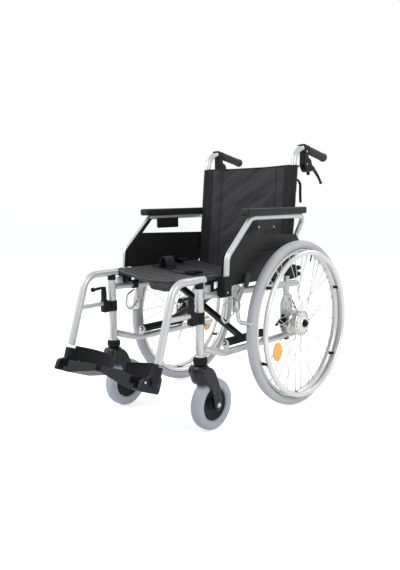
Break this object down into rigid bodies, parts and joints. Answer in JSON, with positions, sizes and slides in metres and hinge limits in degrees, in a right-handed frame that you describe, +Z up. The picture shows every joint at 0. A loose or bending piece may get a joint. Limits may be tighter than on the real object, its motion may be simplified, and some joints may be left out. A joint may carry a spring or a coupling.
{
  "type": "folding self-propelled wheelchair",
  "caption": "Folding manual wheelchair with scissor brace, swivelling casters, spoked wheels with hand rims, flip-back armrests, swing-away legrests and attendant drum brakes.",
  "frame": {"origin": "centre of the bounding box at floor level, under the chair", "axes": "+Z up, -Y the way the chair faces, +X to its user's left"},
  "size_m": [0.6616, 1.0449, 0.9706],
  "materials": {
    "silver_paint": "satin",
    "black_plastic": "matte",
    "grip_rubber": "matte",
    "cable_sheath": "satin",
    "zinc_steel": "brushed",
    "wheel_alloy": "satin",
    "tyre_grey": "matte",
    "fork_plastic": "matte",
    "caster_tyre_grey": "matte",
    "footplate_plastic": "matte",
    "strap_cloth": "woven",
    "pad_skin": "matte",
    "panel_plastic": "matte",
    "black_paint": "satin",
    "seat_cloth": "woven",
    "back_cloth": "woven",
    "belt_webbing": "woven"
  },
  "bodies": {
    "left_frame": {"left_front_post": "silver_paint", "left_upper_rail": "silver_paint", "left_lower_rail": "silver_paint", "left_back_cane": "silver_paint", "left_axle_bracket": "silver_paint", "left_push_grip": "grip_rubber", "left_brake_housing": "black_plastic", "left_brake_cable": "cable_sheath", "left_armrest_socket": "black_plastic", "left_wheel_lock_body": "zinc_steel", "back_sling": "back_cloth"},
    "right_frame": {"right_front_post": "silver_paint", "right_upper_rail": "silver_paint", "right_lower_rail": "silver_paint", "right_back_cane": "silver_paint", "right_axle_bracket": "silver_paint", "right_push_grip": "grip_rubber", "right_brake_housing": "black_plastic", "right_brake_cable": "cable_sheath", "right_armrest_socket": "black_plastic", "right_wheel_lock_body": "zinc_steel"},
    "brace_a": {"left_cross_brace": "black_paint", "brace_bolt": "zinc_steel", "seat_sling": "seat_cloth", "lap_belt": "belt_webbing"},
    "brace_b": {"right_cross_brace": "black_paint"},
    "left_brake_lever": {"left_brake_lever": "black_plastic"},
    "left_release_button": {"left_release_button": "black_plastic"},
    "left_wheel": {"left_rear_wheel": "wheel_alloy", "left_rear_tyre": "tyre_grey", "left_hand_rim": "wheel_alloy"},
    "left_caster": {"left_caster_fork": "fork_plastic"},
    "left_caster_wheel": {"left_caster_wheel": "black_plastic", "left_caster_tyre": "caster_tyre_grey"},
    "left_legrest": {"left_legrest_tube": "silver_paint", "left_legrest_latch": "black_plastic", "left_heel_strap": "strap_cloth"},
    "left_latch_lever": {"left_latch_lever": "black_plastic"},
    "left_footplate": {"left_footplate": "footplate_plastic"},
    "left_armrest": {"left_armrest_tube": "silver_paint", "left_armrest_pad": "pad_skin", "left_side_panel": "panel_plastic"},
    "left_wheel_lock": {"left_wheel_lock_lever": "zinc_steel"},
    "right_brake_lever": {"right_brake_lever": "black_plastic"},
    "right_release_button": {"right_release_button": "black_plastic"},
    "right_wheel": {"right_rear_wheel": "wheel_alloy", "right_rear_tyre": "tyre_grey", "right_hand_rim": "wheel_alloy"},
    "right_caster": {"right_caster_fork": "fork_plastic"},
    "right_caster_wheel": {"right_caster_wheel": "black_plastic", "right_caster_tyre": "caster_tyre_grey"},
    "right_legrest": {"right_legrest_tube": "silver_paint", "right_legrest_latch": "black_plastic", "right_heel_strap": "strap_cloth"},
    "right_latch_lever": {"right_latch_lever": "black_plastic"},
    "right_footplate": {"right_footplate": "footplate_plastic"},
    "right_armrest": {"right_armrest_tube": "silver_paint", "right_armrest_pad": "pad_skin", "right_side_panel": "panel_plastic"},
    "right_wheel_lock": {"right_wheel_lock_lever": "zinc_steel"}
  },
  "joints": [
    {"name": "fold", "type": "hinge", "parent": "left_frame", "child": "brace_a", "pos_m": [0.205, -0.0085, 0.278], "axis": [0, 1, 0], "range_deg": [0, 48], "deforming": ["seat_sling", "back_sling", "lap_belt"]},
    {"name": "brace_cross", "type": "hinge", "parent": "brace_a", "child": "brace_b", "pos_m": [0, -0.0085, 0.3905], "axis": [0, 1, 0], "range_deg": [-96, 0]},
    {"name": "right_brace_pivot", "type": "hinge", "parent": "brace_b", "child": "right_frame", "pos_m": [-0.205, -0.0085, 0.278], "axis": [0, 1, 0], "range_deg": [0, 48]},
    {"name": "left_wheel_spin", "type": "hinge", "parent": "left_frame", "child": "left_wheel", "pos_m": [0.284, 0.2175, 0.305], "axis": [1, 0, 0], "continuous": true},
    {"name": "left_release_press", "type": "slide", "parent": "left_frame", "child": "left_release_button", "axis": [-1, 0, 0], "range_m": [0, 0.003], "stiffness_N_per_m": 600},
    {"name": "left_caster_swivel", "type": "hinge", "parent": "left_frame", "child": "left_caster", "pos_m": [0.213, -0.2545, 0.23], "axis": [0, 0, 1], "continuous": true},
    {"name": "left_caster_spin", "type": "hinge", "parent": "left_caster", "child": "left_caster_wheel", "pos_m": [0.213, -0.2025, 0.0875], "axis": [1, 0, 0], "continuous": true},
    {"name": "left_legrest_swing", "type": "hinge", "parent": "left_frame", "child": "left_legrest", "pos_m": [0.213, -0.2545, 0.507], "axis": [0, 0, 1], "range_deg": [0, 90]},
    {"name": "left_latch_release", "type": "hinge", "parent": "left_legrest", "child": "left_latch_lever", "pos_m": [0.213, -0.2965, 0.446], "axis": [0, 0, 1], "range_deg": [0, 25], "stiffness_Nm_per_rad": 0.3},
    {"name": "left_footplate_flip", "type": "hinge", "parent": "left_legrest", "child": "left_footplate", "pos_m": [0.166, -0.4725, 0.195], "axis": [0, 0.9336, -0.3584], "range_deg": [0, 87], "deforming": ["left_heel_strap"]},
    {"name": "left_armrest_flip", "type": "hinge", "parent": "left_frame", "child": "left_armrest", "pos_m": [0.247, 0.2795, 0.56], "axis": [-1, 0, 0], "range_deg": [0, 100]},
    {"name": "left_wheel_lock_turn", "type": "hinge", "parent": "left_frame", "child": "left_wheel_lock", "pos_m": [0.243, -0.1005, 0.395], "axis": [-1, 0, 0], "range_deg": [0, 35]},
    {"name": "left_brake_squeeze", "type": "hinge", "parent": "left_frame", "child": "left_brake_lever", "pos_m": [0.213, 0.4225, 0.876], "axis": [1, 0, 0], "range_deg": [0, 20], "stiffness_Nm_per_rad": 1},
    {"name": "right_wheel_spin", "type": "hinge", "parent": "right_frame", "child": "right_wheel", "pos_m": [-0.284, 0.2175, 0.305], "axis": [1, 0, 0], "continuous": true},
    {"name": "right_release_press", "type": "slide", "parent": "right_frame", "child": "right_release_button", "axis": [1, 0, 0], "range_m": [0, 0.003], "stiffness_N_per_m": 600},
    {"name": "right_caster_swivel", "type": "hinge", "parent": "right_frame", "child": "right_caster", "pos_m": [-0.213, -0.2545, 0.23], "axis": [0, 0, 1], "continuous": true},
    {"name": "right_caster_spin", "type": "hinge", "parent": "right_caster", "child": "right_caster_wheel", "pos_m": [-0.213, -0.2025, 0.0875], "axis": [1, 0, 0], "continuous": true},
    {"name": "right_legrest_swing", "type": "hinge", "parent": "right_frame", "child": "right_legrest", "pos_m": [-0.213, -0.2545, 0.507], "axis": [0, 0, -1], "range_deg": [0, 90]},
    {"name": "right_latch_release", "type": "hinge", "parent": "right_legrest", "child": "right_latch_lever", "pos_m": [-0.213, -0.2965, 0.446], "axis": [0, 0, -1], "range_deg": [0, 25], "stiffness_Nm_per_rad": 0.3},
    {"name": "right_footplate_flip", "type": "hinge", "parent": "right_legrest", "child": "right_footplate", "pos_m": [-0.166, -0.4725, 0.195], "axis": [0, -0.9336, 0.3584], "range_deg": [0, 87], "deforming": ["right_heel_strap"]},
    {"name": "right_armrest_flip", "type": "hinge", "parent": "right_frame", "child": "right_armrest", "pos_m": [-0.247, 0.2795, 0.56], "axis": [-1, 0, 0], "range_deg": [0, 100]},
    {"name": "right_wheel_lock_turn", "type": "hinge", "parent": "right_frame", "child": "right_wheel_lock", "pos_m": [-0.243, -0.1005, 0.395], "axis": [-1, 0, 0], "range_deg": [0, 35]},
    {"name": "right_brake_squeeze", "type": "hinge", "parent": "right_frame", "child": "right_brake_lever", "pos_m": [-0.213, 0.4225, 0.876], "axis": [1, 0, 0], "range_deg": [0, 20], "stiffness_Nm_per_rad": 1}
  ],
  "couplings": [
    {"joint": "brace_cross", "follows": "fold", "ratio": -2},
    {"joint": "right_brace_pivot", "follows": "fold", "ratio": 1},
    {"joint": "left_footplate_flip", "follows": "fold", "ratio": 1.8125},
    {"joint": "right_footplate_flip", "follows": "fold", "ratio": 1.8125}
  ]
}
